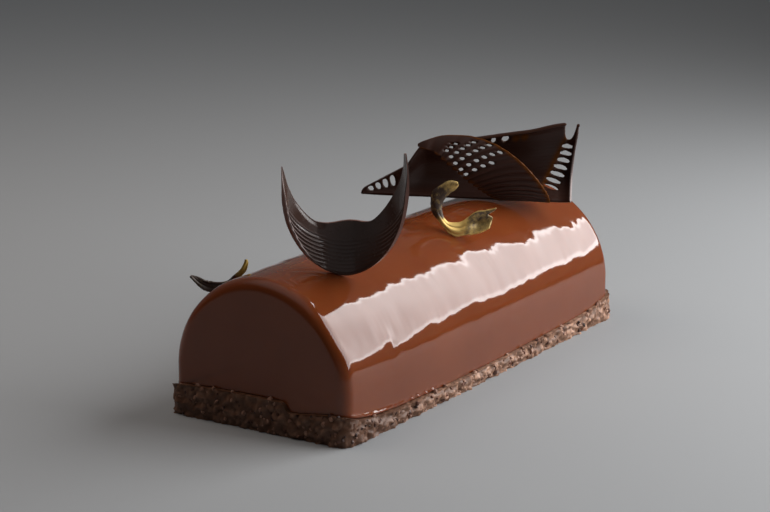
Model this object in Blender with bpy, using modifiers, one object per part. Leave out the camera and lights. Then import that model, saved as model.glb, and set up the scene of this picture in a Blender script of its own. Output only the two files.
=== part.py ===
"""Mirror-glazed chocolate log cake on a crisp base, with four curled chocolate decorations.

Units are metres, +Z is up, and the origin is the middle of the base's underside.
The log runs along X. Each named piece is one closed body in the collection "chocolate_log_cake".
"""
import math

import bpy
import bmesh
from mathutils import Euler, Matrix, Vector, noise

MM = 0.001
GAP = 0.3 * MM

# Log: a tall arch on short upright walls, coated in one skin of glaze.
LOG_LENGTH = 211.2 * MM
LOG_HALF_WIDTH = 40.0 * MM
LOG_TOP = 58.5 * MM
LOG_SPRING = 18.9 * MM
LOG_ARCH_POWER = 1.95
LOG_END_ROUND = 3.6 * MM
LOG_END_STEPS = 4
LOG_ARCH_STEPS = 34
LOG_BAY_COUNT = 16

# Glaze foot: it hangs down the long sides over the base and is drawn up at the two ends.
FOOT_LOW = 6.2 * MM
FOOT_RISE = 5.3 * MM
FOOT_RISE_LENGTH = 14.5 * MM
FOOT_SWAY = 0.45 * MM
FLANK = 35.0 * MM

# Joint between log and base, with a sag of glaze over one half of the front end.
JOINT_HEIGHT = 12.6 * MM
JOINT_CROWN = 1.1 * MM
SAG_DEPTH = 3.9 * MM
SAG_START = -11.5 * MM
SAG_STEP = 3.2 * MM
SAG_REACH = 16.0 * MM
JOINT_COLUMNS = 24
FLANK_STEP = 0.5 * MM

# Crisp base: a crumbly slab that stands a little proud of the glaze.
BASE_OVERHANG = 2.3 * MM
BASE_CORNER = 7.0 * MM
BASE_PITCH = 2.75 * MM
BASE_LAYERS = 4
CRUMB_RELIEF = 0.85 * MM
CRUMB_SCALE = 3.4 * MM
CRUMB_INSET = 0.5 * MM

# The decorations face the log's front corner.
FACING = math.radians(-57.5)

# Comb-ridged crescent: a lune cut from a sheet bent round an upright cylinder.
CRESCENT_AT = (-70.6 * MM, -18.4 * MM)
CRESCENT_RADIUS = 23.2 * MM
CRESCENT_SHIFT = -1.2 * MM
CRESCENT_SPAN = math.radians(90.0)
CRESCENT_THICK = 1.3 * MM
CRESCENT_HORN = (46.8 * MM, 51.3 * MM)
CRESCENT_WAIST = 20.9 * MM
CRESCENT_WAIST_SPAN = (0.30, 0.25)
CRESCENT_HORN_SPAN = 0.66
CRESCENT_COLUMNS = 42
CRESCENT_ROWS = 16
CRESCENT_RIDGE = 0.22 * MM
CRESCENT_LEAN_FROM = 38.0 * MM
CRESCENT_LEAN = 260.0
CRESCENT_CREASE = 0.5 * MM

# Lattice curl: one combed sheet, its back wall upright and its front flap rolled over.
CURL_AT = (62.5 * MM, -8.0 * MM)
CURL_THICK = 1.3 * MM
CURL_LEFT = -59.5 * MM
CURL_RIGHT = 29.5 * MM
CURL_RIM_SLANT = 4.6 * MM
CURL_ROWS = 20
CURL_TAIL_COLUMNS = 30
CURL_FOLD_COLUMNS = 14
CURL_RIM_COLUMNS = 4
CURL_FOLD_END = 21.5 * MM
CURL_BACK_DEPTH = 11.0 * MM
CURL_FOLD_FORWARD = 4.0 * MM
CURL_TAIL_HEIGHT = 4.2 * MM
CURL_TAIL_SLOPE = 0.54
CURL_CROWN_HEIGHT = 29.9 * MM
CURL_CROWN_SLOPE = 0.155
CURL_SHOULDER = -41.0 * MM
CURL_SHOULDER_WIDTH = 10.0 * MM
CURL_TILT = 0.045
CURL_LEAN = 0.255
FLAP_ROWS = 24
FLAP_CENTRE = -20.0 * MM
FLAP_RIGHT = 41.5 * MM
FLAP_LEFT = 30.0 * MM
FLAP_HEIGHT = 26.6 * MM
FLAP_SWEEP = math.radians(121.0)
FLAP_BULGE = 8.5 * MM

# Gold-dusted feathers: narrow leaf curls with a hooked horn and a ragged blade.
FEATHER_THICK = 0.9 * MM
FEATHER_STEPS = 26
FEATHER_COLUMNS = 6
TOP_FEATHER_AT = (9.4 * MM, -16.9 * MM)
BACK_FEATHER_AT = (-83.4 * MM, 35.5 * MM)


def clear_scene():
    for item in list(bpy.data.objects):
        bpy.data.objects.remove(item, do_unlink=True)


def make_collection(name):
    group = bpy.data.collections.new(name)
    bpy.context.scene.collection.children.link(group)
    return group


def make_material(name, colour, roughness, metallic=0.0):
    material = bpy.data.materials.new(name)
    material.use_nodes = True
    shader = material.node_tree.nodes["Principled BSDF"]
    shader.inputs["Base Color"].default_value = (*colour, 1.0)
    shader.inputs["Roughness"].default_value = roughness
    shader.inputs["Metallic"].default_value = metallic
    material.diffuse_color = (*colour, 1.0)
    return material


def add_object(name, grid, material, group):
    mesh = bpy.data.meshes.new(name)
    bmesh.ops.recalc_face_normals(grid, faces=grid.faces)
    grid.to_mesh(mesh)
    grid.free()
    mesh.materials.append(material)
    item = bpy.data.objects.new(name, mesh)
    group.objects.link(item)
    return item


def smooth(value):
    value = min(max(value, 0.0), 1.0)
    return value * value * (3.0 - 2.0 * value)


def arch_height(offset):
    """Height of the log's skin at a distance from its middle plane."""
    share = min(abs(offset) / LOG_HALF_WIDTH, 1.0)
    rise = (1.0 - share ** LOG_ARCH_POWER) ** (1.0 / LOG_ARCH_POWER)
    return LOG_SPRING + (LOG_TOP - LOG_SPRING) * rise


def end_inset(x):
    """How far the soft end edge draws the log's section in."""
    past = abs(x) - (LOG_LENGTH / 2 - LOG_END_ROUND)
    if past <= 0.0:
        return 0.0
    past = min(past, LOG_END_ROUND)
    return LOG_END_ROUND - math.sqrt(LOG_END_ROUND ** 2 - past ** 2)


def foot_height(x):
    """Lower edge of the glaze on the long sides."""
    from_end = LOG_LENGTH / 2 - abs(x)
    rise = FOOT_RISE * math.exp(-max(from_end, 0.0) / FOOT_RISE_LENGTH)
    sway = FOOT_SWAY * math.cos(2.0 * math.pi * (x + 20.0 * MM) / LOG_LENGTH)
    return FOOT_LOW + rise - sway


def joint_height(x, y):
    """Height of the joint between the log and the base."""
    near = max(0.0, 1.0 - (x + LOG_LENGTH / 2) / SAG_REACH) if x > -LOG_LENGTH / 2 else 1.0
    crown = JOINT_CROWN * (1.0 - (y / LOG_HALF_WIDTH) ** 2)
    reach = (SAG_START - y) / (LOG_HALF_WIDTH + SAG_START)
    sag = SAG_DEPTH * smooth((SAG_START - y) / SAG_STEP) * (1.0 - 0.88 * smooth(reach))
    return JOINT_HEIGHT + near * (crown - sag)


def joint_offsets():
    """Evenly spaced positions across the joint, from -1 to 1."""
    return [-1.0 + 2.0 * i / JOINT_COLUMNS for i in range(JOINT_COLUMNS + 1)]


def log_stations():
    half = LOG_LENGTH / 2
    ends = [half - LOG_END_ROUND * (1.0 - math.sin(math.pi / 2 * i / LOG_END_STEPS))
            for i in range(LOG_END_STEPS + 1)]
    start = ends[0]
    inner = [start * (2.0 * i / LOG_BAY_COUNT - 1.0) for i in range(1, LOG_BAY_COUNT)]
    return [-x for x in reversed(ends)] + inner + ends


def log_section(x):
    """One closed outline of the log, as points across and up."""
    inset = end_inset(x)
    wide = LOG_HALF_WIDTH - inset
    tall = LOG_TOP - inset
    foot = foot_height(x)
    points = [(-wide, foot), (-wide, (foot + LOG_SPRING) / 2)]
    for i in range(LOG_ARCH_STEPS + 1):
        turn = math.pi * i / LOG_ARCH_STEPS
        across = math.copysign(abs(math.cos(turn)) ** (2.0 / LOG_ARCH_POWER), math.cos(turn))
        up = math.sin(turn) ** (2.0 / LOG_ARCH_POWER) if 0 < i < LOG_ARCH_STEPS else 0.0
        points.append((-wide * across, LOG_SPRING + (tall - LOG_SPRING) * up))
    points += [(wide, (foot + LOG_SPRING) / 2), (wide, foot), (FLANK + FLANK_STEP, foot)]
    for offset in reversed(joint_offsets()):
        points.append((FLANK * offset, joint_height(x, FLANK * offset)))
    points.append((-FLANK - FLANK_STEP, foot))
    return points


def build_log():
    """Loft the log from its sections and cap both ends."""
    grid = bmesh.new()
    rings = []
    for x in log_stations():
        rings.append([grid.verts.new((x, y, z)) for y, z in log_section(x)])
    count = len(rings[0])
    for ring, other in zip(rings, rings[1:]):
        for i in range(count):
            j = (i + 1) % count
            grid.faces.new((ring[i], ring[j], other[j], other[i]))
    grid.faces.new(rings[0])
    grid.faces.new(list(reversed(rings[-1])))
    dissolve_flat(grid)
    return grid


def dissolve_flat(grid):
    """Merge level faces of the hidden joint and the underside."""
    level = [face for face in grid.faces if abs(face.normal.z) > 0.99999]
    edges = {edge for face in level for edge in face.edges}
    inner = [edge for edge in edges if all(face in level for face in edge.link_faces)]
    bmesh.ops.dissolve_limit(grid, angle_limit=math.radians(0.02), edges=inner,
                             verts=[vert for vert in grid.verts
                                    if all(edge in inner for edge in vert.link_edges)])


def round_plan(x, y, half_x, half_y, radius):
    """Draw the corners of a rectangular plan in to a radius."""
    past_x = abs(x) - (half_x - radius)
    past_y = abs(y) - (half_y - radius)
    if past_x <= 0.0 or past_y <= 0.0:
        return x, y
    scale = max(past_x, past_y) / math.hypot(past_x, past_y)
    new_x = half_x - radius + past_x * scale
    new_y = half_y - radius + past_y * scale
    return math.copysign(new_x, x), math.copysign(new_y, y)


def crumb(x, y, z):
    """Crags of the crumb, from -1 to 1."""
    point = Vector((x, y, z)) / CRUMB_SCALE
    coarse = noise.noise(point)
    fine = noise.noise(point * 2.3 + Vector((7.0, 3.0, 5.0)))
    return max(-1.0, min(1.0, 1.5 * coarse + 0.8 * fine))


def base_columns():
    """Positions across the base: rim, ledge, raised middle, ledge, rim."""
    rim = LOG_HALF_WIDTH + BASE_OVERHANG
    side = FLANK - GAP
    middle = [(side * offset, True) for offset in joint_offsets()]
    ledge = side + FLANK_STEP
    return ([(-rim, False), (-ledge, False)] + middle + [(ledge, False), (rim, False)])


def base_top(x, y, raised):
    if raised:
        return joint_height(x, y * FLANK / (FLANK - GAP)) - GAP
    return foot_height(x) - GAP


def build_base():
    """Boxed grid with a crumbly wall, a ledge under the glaze and a raised middle."""
    grid = bmesh.new()
    half_x = LOG_LENGTH / 2 + BASE_OVERHANG
    half_y = LOG_HALF_WIDTH + BASE_OVERHANG
    steps = round(2.0 * half_x / BASE_PITCH)
    joint = LOG_LENGTH / 2
    stations = [-half_x + 2.0 * half_x * i / steps for i in range(steps + 1)]
    columns = base_columns()
    stations[1] = -joint
    stations[-2] = joint
    top = []
    floor = []
    for i, x in enumerate(stations):
        at_end = i in (0, steps)
        top_row = []
        floor_row = []
        for j, (y, raised) in enumerate(columns):
            at_side = j in (0, len(columns) - 1)
            new_x, new_y = round_plan(x, y, half_x, half_y, BASE_CORNER)
            height = base_top(x, y, raised)
            if at_end and not raised:
                height = base_top(x, math.copysign(FLANK - GAP, y), True)
            if at_end or at_side:
                push = -CRUMB_INSET + 0.5 * CRUMB_RELIEF * crumb(new_x, new_y, height)
                new_x += push * (math.copysign(1.0, x) if at_end else 0.0)
                new_y += push * (math.copysign(1.0, y) if at_side else 0.0)
                height += 0.35 * CRUMB_RELIEF * crumb(new_x + 0.1, new_y, height) - GAP
            top_row.append(grid.verts.new((new_x, new_y, height)))
            floor_row.append(grid.verts.new((new_x, new_y, 0.0)))
        top.append(top_row)
        floor.append(floor_row)
    wide = len(top[0])
    for i in range(steps):
        for j in range(wide - 1):
            grid.faces.new((top[i][j], top[i + 1][j], top[i + 1][j + 1], top[i][j + 1]))
            grid.faces.new((floor[i][j], floor[i][j + 1], floor[i + 1][j + 1], floor[i + 1][j]))
    loop = ([(i, 0) for i in range(steps)] + [(steps, j) for j in range(wide - 1)]
            + [(i, wide - 1) for i in range(steps, 0, -1)] + [(0, j) for j in range(wide - 1, 0, -1)])
    walls = []
    for i, j in loop:
        walls.append(wall_column(grid, floor[i][j], top[i][j]))
    for left, right in zip(walls, walls[1:] + walls[:1]):
        for k in range(len(left) - 1):
            grid.faces.new((left[k], right[k], right[k + 1], left[k + 1]))
    grid.normal_update()
    dissolve_flat(grid)
    return grid


def wall_column(grid, low, high):
    """A crumbly upright from the underside to the ledge."""
    column = [low]
    centre = Vector((low.co.x * 0.8, 0.0, 0.0))
    out = low.co - centre
    out.z = 0.0
    if abs(low.co.x) < LOG_LENGTH / 2 - BASE_CORNER:
        out = Vector((0.0, low.co.y, 0.0))
    elif abs(low.co.y) < LOG_HALF_WIDTH - BASE_CORNER:
        out = Vector((low.co.x, 0.0, 0.0))
    out.normalize()
    for k in range(1, BASE_LAYERS):
        share = k / BASE_LAYERS
        point = low.co.lerp(high.co, share)
        bulge = CRUMB_INSET * math.sin(math.pi * share)
        point += out * (bulge + CRUMB_RELIEF * crumb(point.x, point.y, point.z * 1.3))
        column.append(grid.verts.new(point))
    column.append(high)
    return column


def sheet_grid(columns, rows, place, keep=None):
    """A flat grid of cells bent to a form; cells that keep() refuses are left open."""
    grid = bmesh.new()
    verts = [[grid.verts.new(place(i / columns, j / rows)) for j in range(rows + 1)]
             for i in range(columns + 1)]
    for i in range(columns):
        for j in range(rows):
            if keep is None or keep(i, j):
                grid.faces.new((verts[i][j], verts[i + 1][j], verts[i + 1][j + 1], verts[i][j + 1]))
    drop_loose(grid)
    return grid


def drop_loose(grid):
    loose = [vert for vert in grid.verts if not vert.link_faces]
    bmesh.ops.delete(grid, geom=loose, context="VERTS")


def thicken(item, thickness, offset=0.0):
    """Give a sheet its thickness and leave both faces split into triangles alike."""
    solid = item.modifiers.new("thickness", "SOLIDIFY")
    solid.thickness = thickness
    solid.offset = offset
    solid.use_even_offset = False
    split = item.modifiers.new("split", "TRIANGULATE")
    split.quad_method = "FIXED"
    return item


def seat(item, gap):
    """Lower or raise a decoration until it stands a hair above the glaze."""
    bpy.context.view_layer.update()
    graph = bpy.context.evaluated_depsgraph_get()
    shell = item.evaluated_get(graph)
    mesh = shell.to_mesh()
    world = item.matrix_world
    lowest = 1.0
    for vert in mesh.vertices:
        point = world @ vert.co
        if abs(point.y) < LOG_HALF_WIDTH and abs(point.x) < LOG_LENGTH / 2:
            lowest = min(lowest, point.z - arch_height(point.y))
    shell.to_mesh_clear()
    item.location.z += gap - lowest
    return item


def crescent_edges(turn):
    """Lower and upper edge of the crescent at a share of its span, from -1 to 1."""
    share = abs(turn)
    side = 0 if turn < 0.0 else 1
    horn = CRESCENT_HORN[side]
    low = horn * (1.0 - (1.0 - share ** 1.8) ** 0.75)
    ramp = max(0.0, (share - CRESCENT_WAIST_SPAN[side]) / CRESCENT_HORN_SPAN)
    high = CRESCENT_WAIST + (horn - CRESCENT_WAIST) * min(1.0, ramp ** 1.28)
    high += 0.7 * MM * math.cos(9.0 * turn - 0.4) * (1.0 - smooth(share / 0.4))
    return low, max(high, low + 0.5 * MM)


def crescent_point(across, up):
    turn = 2.0 * across - 1.0
    turn = 0.985 * math.copysign(abs(turn) ** 0.9, turn)
    low, high = crescent_edges(turn)
    angle = turn * CRESCENT_SPAN
    height = low + (high - low) * up
    row = round(up * CRESCENT_ROWS)
    fade = smooth((0.72 - up) / 0.2) * smooth((0.93 - abs(turn)) / 0.15)
    ridge = CRESCENT_RIDGE * fade * (1.0 if row % 2 else -1.0)
    crease = CRESCENT_CREASE * (math.exp(-((turn + 0.24) / 0.05) ** 2)
                                + 0.7 * math.exp(-((turn - 0.09) / 0.05) ** 2))
    radius = CRESCENT_RADIUS - ridge - crease
    lean = 1.0
    if turn > 0.0 and height > CRESCENT_LEAN_FROM:
        lean = 1.0 - CRESCENT_LEAN * (height - CRESCENT_LEAN_FROM) ** 2
    return Vector((CRESCENT_SHIFT + radius * math.sin(angle) * lean,
                   radius * math.cos(angle) - CRESCENT_RADIUS,
                   height))


def build_crescent():
    return sheet_grid(CRESCENT_COLUMNS, CRESCENT_ROWS, crescent_point)


def curl_top(a):
    """Height of the back wall's top edge along the curl."""
    tail = CURL_TAIL_HEIGHT + CURL_TAIL_SLOPE * (a - CURL_LEFT)
    crown = CURL_CROWN_HEIGHT + CURL_CROWN_SLOPE * a
    share = smooth((a - CURL_SHOULDER) / CURL_SHOULDER_WIDTH)
    return tail + (crown - tail) * share


def curl_bottom(a):
    return -CURL_TILT * (a + 8.7 * MM)


def back_wall_point(a, up):
    """A point of the back wall: rounded foot, hollow middle, hooked top edge."""
    low = curl_bottom(a)
    high = curl_top(a)
    deep = CURL_BACK_DEPTH * min(1.0, (high - low) / (30.0 * MM))
    forward = CURL_FOLD_FORWARD - deep * math.sin(math.pi / 2 * min(1.0, up / 0.4))
    forward += 0.55 * deep * smooth((up - 0.55) / 0.45)
    forward += 2.2 * MM * smooth((up - 0.86) / 0.14) * smooth((a + 20.0 * MM) / (20.0 * MM))
    height = low + (high - low) * (1.0 - math.cos(math.pi / 2 * up ** 0.85)) ** 0.62
    shift = CURL_RIM_SLANT * height / (35.0 * MM) * smooth(a / CURL_RIGHT)
    return Vector((a + shift, -forward, height + CURL_LEAN * forward))


def flap_edges(up):
    """Toothed edge and lip of the front flap at a share of its rise."""
    tooth = Vector((-31.0 * MM * up ** 1.25 - 4.5 * MM * smooth((up - 0.9) / 0.1), 0.0,
                    22.8 * MM * up ** 1.7))
    turn = FLAP_SWEEP * (0.8 * up ** 1.25 + 0.2 * smooth((up - 0.85) / 0.15))
    if turn < math.pi / 2:
        lip = Vector((FLAP_CENTRE + FLAP_RIGHT * math.cos(turn), 0.0,
                      FLAP_HEIGHT * (1.0 - math.cos(turn) ** 2.2)))
    else:
        lip = Vector((FLAP_CENTRE + FLAP_LEFT * math.cos(turn), 0.0, FLAP_HEIGHT * math.sin(turn)))
    return tooth, lip


def flap_point(across, up):
    """A point of the front flap, which rises from the fold and leans back to the left."""
    tooth, lip = flap_edges(up)
    flat = tooth.lerp(lip, across)
    bow = 2.4 * MM * math.sin(math.pi * across) * math.sin(math.pi * up) * (1.0 - 0.5 * up)
    height = flat.z + bow + curl_bottom(flat.x) * (1.0 - up)
    rise = min(max(height / (31.0 * MM), 0.0), 1.0)
    forward = CURL_FOLD_FORWARD + FLAP_BULGE * abs(math.sin(math.pi * rise)) ** 0.7
    forward -= 1.5 * MM * up
    return Vector((flat.x, -forward, height + CURL_LEAN * forward))


def curl_columns():
    """Stations along the back wall, closer where the flap is folded from it."""
    tail = [CURL_LEFT * (1.0 - i / CURL_TAIL_COLUMNS) for i in range(CURL_TAIL_COLUMNS)]
    fold = [CURL_FOLD_END * i / CURL_FOLD_COLUMNS for i in range(CURL_FOLD_COLUMNS + 1)]
    rim = [CURL_FOLD_END + (CURL_RIGHT - CURL_FOLD_END) * (i + 1) / CURL_RIM_COLUMNS
           for i in range(CURL_RIM_COLUMNS)]
    return tail + fold + rim


def back_cell_open(i, j, a):
    """Slots of the back wall: rungs in the tail, slits behind the flap, slots at the rim."""
    in_tail = -56.0 * MM < a < -41.0 * MM
    behind = (-21.0 + 0.7 * (13 - j)) * MM < a < 2.0 * MM
    above = -6.0 * MM < a < 5.0 * MM
    at_rim = CURL_FOLD_END + 1.0 * MM < a < CURL_RIGHT - 1.5 * MM
    if above and j == 17:
        return i % 2 == 0
    if in_tail:
        return i % 2 == 1 and 5 <= j <= 13
    if behind:
        return j % 2 == 1 and 5 <= j <= 15 and i % 5 != 3
    return at_rim and j % 2 == 1 and 1 <= j <= 17


def flap_cell_open(i, j):
    """Holes of the front flap: rows that follow the comb lines, on its left half."""
    last = {13: 7, 15: 11, 17: 11, 19: 9, 21: 5}.get(j, 0)
    return i % 2 == 1 and i <= last


def build_curl():
    """Back wall and front flap as one sheet that shares the row of points at the fold."""
    grid = bmesh.new()
    stations = curl_columns()
    wall = [[grid.verts.new(back_wall_point(a, j / CURL_ROWS)) for j in range(CURL_ROWS + 1)]
            for a in stations]
    for i in range(len(stations) - 1):
        middle = (stations[i] + stations[i + 1]) / 2
        for j in range(CURL_ROWS):
            if not back_cell_open(i, j, middle):
                grid.faces.new((wall[i][j], wall[i + 1][j], wall[i + 1][j + 1], wall[i][j + 1]))
    first = CURL_TAIL_COLUMNS
    flap = []
    for i in range(CURL_FOLD_COLUMNS + 1):
        column = [wall[first + i][0]]
        for j in range(1, FLAP_ROWS + 1):
            column.append(grid.verts.new(flap_point(i / CURL_FOLD_COLUMNS, j / FLAP_ROWS)))
        flap.append(column)
    for i in range(CURL_FOLD_COLUMNS):
        for j in range(FLAP_ROWS):
            if not flap_cell_open(i, j):
                grid.faces.new((flap[i][j], flap[i][j + 1], flap[i + 1][j + 1], flap[i + 1][j]))
    drop_loose(grid)
    return grid


def feather_point(spine, width, twist, cup):
    """Return a function that bends a leaf blade along a spine."""
    def place(along, across):
        middle = spine(along)
        ahead = (spine(min(1.0, along + 0.01)) - spine(max(0.0, along - 0.01))).normalized()
        side = Vector((0.0, -1.0, 0.0))
        side = (side - ahead * side.dot(ahead)).normalized()
        side = Matrix.Rotation(twist(along), 3, ahead) @ side
        normal = side.cross(ahead)
        offset = 2.0 * across - 1.0
        reach = width(along, offset)
        return middle + side * reach * offset + normal * (cup * reach * offset ** 2)
    return place


def top_spine(along):
    """Horn tip, hook, bowl on the glaze and raised blade tip, seen from the front corner."""
    turn = math.radians(90.0 + 200.0 * min(1.0, along / 0.55))
    horn = Vector((1.6 + 9.0 * math.cos(turn), 0.0, 11.3 + 9.3 * math.sin(turn))) * MM
    if along <= 0.55:
        return horn
    past = (along - 0.55) / 0.45
    return horn + Vector((13.5 * past, 5.0 * past, 0.4 * past + 6.5 * past ** 2.6)) * MM


def top_width(along, offset):
    swell = smooth((along - 0.3) / 0.3) * (1.0 - 0.75 * smooth((along - 0.72) / 0.28))
    ragged = 0.5 * math.sin(19.0 * along + 3.0 * offset) * smooth((along - 0.55) / 0.2)
    narrow = smooth(along / 0.12)
    return (0.5 + 1.5 * narrow + 4.2 * swell + ragged) * MM


def top_twist(along):
    return math.radians(62.0 - 34.0 * smooth((along - 0.3) / 0.3))


def back_spine(along):
    turn = math.radians(209.0 + 143.0 * along)
    radius = 12.2 - 0.7 * along
    return Vector((0.5 + radius * math.cos(turn), 0.0, 13.8 + radius * math.sin(turn))) * MM


def back_width(along, offset):
    swell = math.sin(math.pi * min(1.0, along / 0.75)) ** 0.9
    ragged = 0.4 * math.sin(23.0 * along + 2.0 * offset)
    return (0.7 + 5.0 * swell * smooth(along / 0.1) + ragged * swell) * MM


def back_twist(along):
    return math.radians(-50.0 + 80.0 * along)


def place_decoration(item, at, parent):
    item.parent = parent
    item.location = (at[0], at[1], LOG_TOP)
    item.rotation_euler = Euler((0.0, 0.0, FACING))
    return seat(item, GAP)


def main():
    clear_scene()
    group = make_collection("chocolate_log_cake")
    crisp = make_material("crisp_chocolate", (0.115, 0.062, 0.035), 0.75)
    glaze = make_material("milk_chocolate_glaze", (0.190, 0.060, 0.030), 0.12)
    dark = make_material("dark_chocolate", (0.022, 0.011, 0.008), 0.35)
    lattice = make_material("dark_chocolate_lattice", (0.028, 0.012, 0.008), 0.4)
    gold = make_material("gold_dusted_chocolate", (0.300, 0.200, 0.060), 0.45, 0.4)
    old_gold = make_material("gold_dusted_chocolate_back", (0.240, 0.160, 0.050), 0.5, 0.3)

    base = add_object("crisp_base", build_base(), crisp, group)
    log = add_object("glazed_log", build_log(), glaze, group)
    log.parent = base

    crescent = add_object("comb_crescent", build_crescent(), dark, group)
    thicken(crescent, CRESCENT_THICK)
    place_decoration(crescent, CRESCENT_AT, log)

    curl = add_object("lattice_curl", build_curl(), lattice, group)
    thicken(curl, CURL_THICK)
    place_decoration(curl, CURL_AT, log)

    top_leaf = sheet_grid(FEATHER_STEPS, FEATHER_COLUMNS,
                          feather_point(top_spine, top_width, top_twist, 0.35))
    feather = add_object("gold_feather_top", top_leaf, gold, group)
    thicken(feather, FEATHER_THICK)
    place_decoration(feather, TOP_FEATHER_AT, log)

    back_leaf = sheet_grid(FEATHER_STEPS, FEATHER_COLUMNS,
                           feather_point(back_spine, back_width, back_twist, 0.3))
    feather = add_object("gold_feather_back", back_leaf, old_gold, group)
    thicken(feather, FEATHER_THICK)
    place_decoration(feather, BACK_FEATHER_AT, log)


main()
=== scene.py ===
"""Looks of a mirror-glazed chocolate log cake on a crisp base, with four curled chocolate decorations.

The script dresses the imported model: metres, +Z up, the log along X, its near end at -X.
"""

import math
import random

import bmesh
import bpy
from mathutils import Euler, Matrix, Vector, noise


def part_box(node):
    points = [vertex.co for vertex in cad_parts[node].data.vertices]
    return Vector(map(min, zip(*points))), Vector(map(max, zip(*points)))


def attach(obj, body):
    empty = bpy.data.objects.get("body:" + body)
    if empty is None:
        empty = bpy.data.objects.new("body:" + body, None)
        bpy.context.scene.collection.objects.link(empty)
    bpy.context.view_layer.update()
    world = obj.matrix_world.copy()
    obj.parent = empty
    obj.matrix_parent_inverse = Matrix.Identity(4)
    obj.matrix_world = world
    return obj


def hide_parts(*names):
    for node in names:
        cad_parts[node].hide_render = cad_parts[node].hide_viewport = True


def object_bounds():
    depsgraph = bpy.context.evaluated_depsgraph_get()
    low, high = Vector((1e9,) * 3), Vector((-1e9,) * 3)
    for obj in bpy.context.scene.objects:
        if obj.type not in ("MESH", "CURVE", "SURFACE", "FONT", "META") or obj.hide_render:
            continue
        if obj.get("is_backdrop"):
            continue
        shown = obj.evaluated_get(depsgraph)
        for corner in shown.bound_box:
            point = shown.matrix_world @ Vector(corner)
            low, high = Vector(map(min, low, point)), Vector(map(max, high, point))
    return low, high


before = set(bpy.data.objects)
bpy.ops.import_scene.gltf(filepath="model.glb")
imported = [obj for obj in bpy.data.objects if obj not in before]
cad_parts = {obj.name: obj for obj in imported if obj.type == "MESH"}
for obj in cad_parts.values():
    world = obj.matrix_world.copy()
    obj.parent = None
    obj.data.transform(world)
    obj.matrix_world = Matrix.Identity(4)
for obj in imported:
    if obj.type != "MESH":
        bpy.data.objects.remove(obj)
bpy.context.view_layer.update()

# ------------------------------------------------
# Crisp base
# A slab of chopped nuts and crushed wafer bound in milk chocolate, pressed in a frame and cut.
# It stands a little proud of the glaze, and its cut wall is all small crags and pits.
# ------------------------------------------------
MM = 0.001
GAP = 0.3 * MM
LOG_LENGTH = 211.2 * MM
LOG_HALF_WIDTH = 40.0 * MM
BASE_OVERHANG = 2.3 * MM
BASE_CORNER = 7.0 * MM
CORNER_STEPS = 14
# The plan's sides: the way each faces, its points, and the corners that it runs between.
BASE_SIDES = ((-90, 230, (-1, -1), (1, -1)), (0, 84, (1, -1), (1, 1)),
              (90, 230, (1, 1), (-1, 1)), (180, 84, (-1, 1), (-1, -1)))
# Rows up the wall, and how far in from it the rings of the upper face lie, in mm.
BASE_ROWS = 16
BASE_RINGS = (0.5, 1.1, 1.8, 2.6, 3.6, 6.55, 6.95, 12.0)
# Foot of the glaze on the long sides, and joint between base and log, with its sag at the near end.
FOOT_LOW = 6.2 * MM
FOOT_RISE = 5.3 * MM
FOOT_RISE_LENGTH = 14.5 * MM
FOOT_SWAY = 0.45 * MM
FLANK = 35.0 * MM
FLANK_STEP = 0.5 * MM
JOINT_HEIGHT = 12.6 * MM
JOINT_CROWN = 1.1 * MM
SAG_DEPTH = 3.9 * MM
SAG_START = -11.5 * MM
SAG_STEP = 3.2 * MM
SAG_REACH = 16.0 * MM
# Slow swell of the wall, as in the solid, and the nut pieces' lumps on it.
CRUMB_SCALE = 3.4 * MM
CRUMB_RELIEF = 0.85 * MM
CRUMB_INSET = 0.5 * MM
LUMP_SCALE = 3.0 * MM
LUMP_RELIEF = 0.55 * MM
# The lumps' noise is seeded, so that the wall comes out the same each time.
noise.seed_set(5)


def linear(code):
    """sRGB hex to linear RGBA."""
    parts = [int(code[i:i + 2], 16) / 255.0 for i in (1, 3, 5)]
    return [p / 12.92 if p <= 0.04045 else ((p + 0.055) / 1.055) ** 2.4 for p in parts] + [1.0]


def new_material(name, constants):
    """A material and its shader, with the values that stay the same all over it."""
    material = bpy.data.materials.new(name)
    material.use_nodes = True
    shader = material.node_tree.nodes["Principled BSDF"]
    for key, value in constants.items():
        shader.inputs[key].default_value = value
    return material, shader


def add_node(owner, kind, inputs=None, **settings):
    """Add a node to a material, lamp or world: settings are its properties, inputs values or sockets."""
    tree = owner.node_tree
    made = tree.nodes.new("ShaderNode" + kind)
    for key, value in settings.items():
        setattr(made, key, value)
    for key, value in (inputs or {}).items():
        if isinstance(value, bpy.types.NodeSocket):
            tree.links.new(value, made.inputs[key])
        else:
            made.inputs[key].default_value = value
    return made


def join_sockets(owner, source, shader, name):
    owner.node_tree.links.new(source, shader.inputs[name])


def smooth(value):
    value = min(max(value, 0.0), 1.0)
    return value * value * (3.0 - 2.0 * value)


def place_object(name, data):
    made = bpy.data.objects.new(name, data)
    bpy.context.scene.collection.objects.link(made)
    return made


def make_piece(name, verts, faces, material, nodes=(), sharp=50.0, marks=None):
    """One mesh piece of the cake; marks are named numbers kept on its points."""
    mesh = bpy.data.meshes.new(name)
    mesh.from_pydata(verts, [], faces)
    mesh.validate()
    for key, values in (marks or {}).items():
        layer = mesh.attributes.new(key, "FLOAT", "POINT")
        layer.data.foreach_set("value", values)
    mesh.polygons.foreach_set("use_smooth", [True] * len(mesh.polygons))
    mesh.set_sharp_from_angle(angle=math.radians(sharp))
    mesh.materials.append(material)
    piece = place_object(name, mesh)
    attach(piece, "root")
    if nodes:
        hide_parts(*nodes)
    return piece


def foot_height(x):
    """Lower edge of the glaze on the long sides."""
    rise = FOOT_RISE * math.exp(-max(LOG_LENGTH / 2 - abs(x), 0.0) / FOOT_RISE_LENGTH)
    return FOOT_LOW + rise - FOOT_SWAY * math.cos(2.0 * math.pi * (x + 20.0 * MM) / LOG_LENGTH)


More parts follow.
